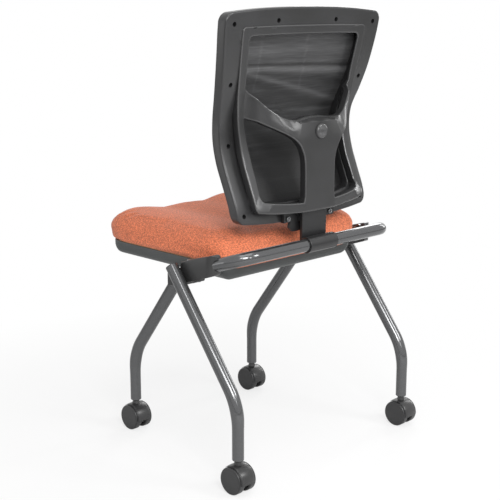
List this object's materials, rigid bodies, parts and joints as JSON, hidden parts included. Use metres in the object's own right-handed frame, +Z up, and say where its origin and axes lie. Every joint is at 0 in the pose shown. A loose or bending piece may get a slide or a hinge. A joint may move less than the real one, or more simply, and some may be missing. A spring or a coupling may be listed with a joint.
{
  "type": "nesting chair",
  "caption": "Nesting chair with a bent tube frame, flip-up upholstered seat, mesh back with a Y-shaped brace, and twin-wheel casters.",
  "frame": {"origin": "on the floor, in the middle plane, halfway between the front and the rear casters", "axes": "+Z up; -Y is the way the chair faces; +X is the sitter's left"},
  "size_m": [0.571, 0.5281, 0.947],
  "materials": {
    "tube_metal": "satin metallic grey paint",
    "charcoal_plastic": "satin moulded plastic",
    "black_plastic": "matte moulded plastic",
    "black_steel": "black painted steel",
    "plain_steel": "zinc plated steel",
    "mesh": "woven polyester mesh",
    "orange_fabric": "salmon orange upholstery with a fine pebble pattern",
    "board": "birch plywood",
    "wheel_nylon": "matte moulded nylon"
  },
  "bodies": {
    "frame": {"rear_leg_left": "tube_metal", "rear_leg_right": "tube_metal", "front_leg_left": "tube_metal", "front_leg_right": "tube_metal", "cross_bar": "tube_metal", "housing_left": "charcoal_plastic", "housing_right": "charcoal_plastic", "leg_end_plugs": "black_plastic", "leg_bolts": "plain_steel", "pivot_pins": "plain_steel", "caster_sockets": "black_plastic", "back_bar": "black_steel", "back_carrier": "black_plastic", "carrier_screws": "plain_steel", "back_frame": "charcoal_plastic", "back_brace": "charcoal_plastic", "mesh_panel": "mesh", "mesh_edging": "black_plastic", "frame_screws": "black_steel", "hub_cap": "black_plastic"},
    "seat": {"pivot_bushes": "black_plastic", "seat_pan": "charcoal_plastic", "seat_board": "board", "seat_cushion": "orange_fabric", "hinge_arm_left": "plain_steel", "hinge_arm_right": "plain_steel", "hinge_screws": "plain_steel", "pan_screws": "plain_steel", "seat_rests": "black_plastic"},
    "caster_rear_left": {"caster_hood_rear_left": "charcoal_plastic", "caster_stem_rear_left": "plain_steel"},
    "wheels_rear_left": {"caster_axle_rear_left": "plain_steel", "caster_wheel_rear_left_a": "wheel_nylon", "caster_wheel_rear_left_b": "wheel_nylon"},
    "caster_rear_right": {"caster_hood_rear_right": "charcoal_plastic", "caster_stem_rear_right": "plain_steel"},
    "wheels_rear_right": {"caster_axle_rear_right": "plain_steel", "caster_wheel_rear_right_a": "wheel_nylon", "caster_wheel_rear_right_b": "wheel_nylon"},
    "caster_front_left": {"caster_hood_front_left": "charcoal_plastic", "caster_stem_front_left": "plain_steel"},
    "wheels_front_left": {"caster_axle_front_left": "plain_steel", "caster_wheel_front_left_a": "wheel_nylon", "caster_wheel_front_left_b": "wheel_nylon"},
    "caster_front_right": {"caster_hood_front_right": "charcoal_plastic", "caster_stem_front_right": "plain_steel"},
    "wheels_front_right": {"caster_axle_front_right": "plain_steel", "caster_wheel_front_right_a": "wheel_nylon", "caster_wheel_front_right_b": "wheel_nylon"}
  },
  "joints": [
    {"name": "seat_flip", "type": "hinge", "parent": "frame", "child": "seat", "pos_m": [0, 0.094, 0.45], "axis": [-1, 0, 0], "range_deg": [0, 60]},
    {"name": "swivel_rear_left", "type": "hinge", "parent": "frame", "child": "caster_rear_left", "pos_m": [0.2625, 0.2064, 0.068], "axis": [0, 0, 1], "continuous": true},
    {"name": "roll_rear_left", "type": "hinge", "parent": "caster_rear_left", "child": "wheels_rear_left", "pos_m": [0.2625, 0.2064, 0.0285], "axis": [1, 0, 0], "continuous": true},
    {"name": "swivel_rear_right", "type": "hinge", "parent": "frame", "child": "caster_rear_right", "pos_m": [-0.2625, 0.2064, 0.068], "axis": [0, 0, 1], "continuous": true},
    {"name": "roll_rear_right", "type": "hinge", "parent": "caster_rear_right", "child": "wheels_rear_right", "pos_m": [-0.2625, 0.2064, 0.0285], "axis": [1, 0, 0], "continuous": true},
    {"name": "swivel_front_left", "type": "hinge", "parent": "frame", "child": "caster_front_left", "pos_m": [0.187, -0.2064, 0.068], "axis": [0, 0, 1], "continuous": true},
    {"name": "roll_front_left", "type": "hinge", "parent": "caster_front_left", "child": "wheels_front_left", "pos_m": [0.187, -0.2064, 0.0285], "axis": [1, 0, 0], "continuous": true},
    {"name": "swivel_front_right", "type": "hinge", "parent": "frame", "child": "caster_front_right", "pos_m": [-0.187, -0.2064, 0.068], "axis": [0, 0, 1], "continuous": true},
    {"name": "roll_front_right", "type": "hinge", "parent": "caster_front_right", "child": "wheels_front_right", "pos_m": [-0.187, -0.2064, 0.0285], "axis": [1, 0, 0], "continuous": true}
  ]
}
